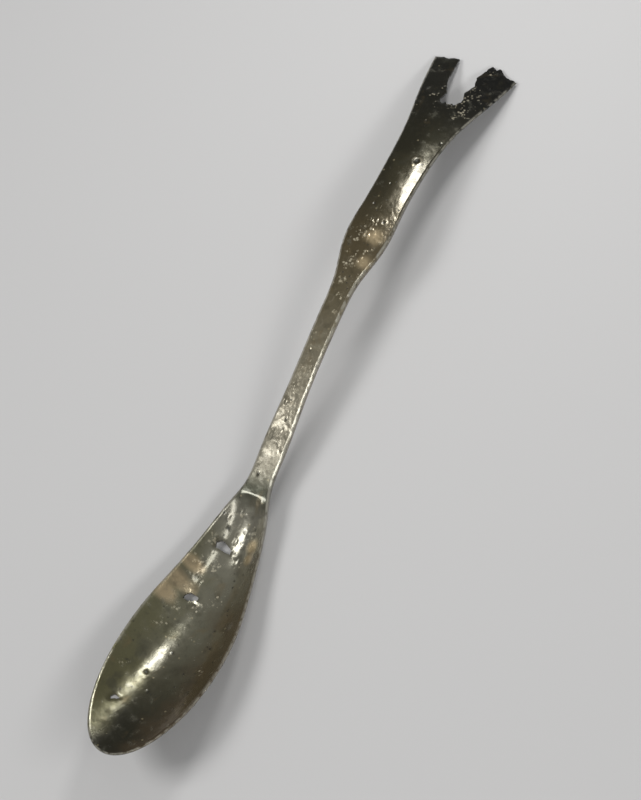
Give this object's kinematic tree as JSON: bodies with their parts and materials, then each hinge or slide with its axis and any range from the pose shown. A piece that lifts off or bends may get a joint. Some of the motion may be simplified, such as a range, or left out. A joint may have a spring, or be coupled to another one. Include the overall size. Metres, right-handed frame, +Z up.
{
  "type": "spoon",
  "caption": "Old one-piece bronze spoon: leaf-shaped bowl eaten through by corrosion, narrow arched stem, shouldered waist and a broken swallow-tail end.",
  "frame": {"origin": "on the table, under the middle of the spoon's box as it lies at rest", "axes": "+X from the nose of the bowl to the tail, +Y to the spoon's left seen from above with the nose nearest, +Z up from the table"},
  "size_m": [0.265, 0.0342, 0.0251],
  "materials": {
    "bowl_patina": "hammered bronze with a smooth grey-olive patina, satin",
    "stem_crust": "hammered bronze with a mottled, crusted brown-green patina",
    "tail_patina": "hammered bronze with a dark olive patina, satin"
  },
  "bodies": {
    "root": {"bowl": "bowl_patina", "heel": "bowl_patina", "stem": "stem_crust", "waist": "stem_crust", "tail_blade": "tail_patina", "left_prong": "tail_patina", "right_prong": "tail_patina"}
  },
  "joints": []
}
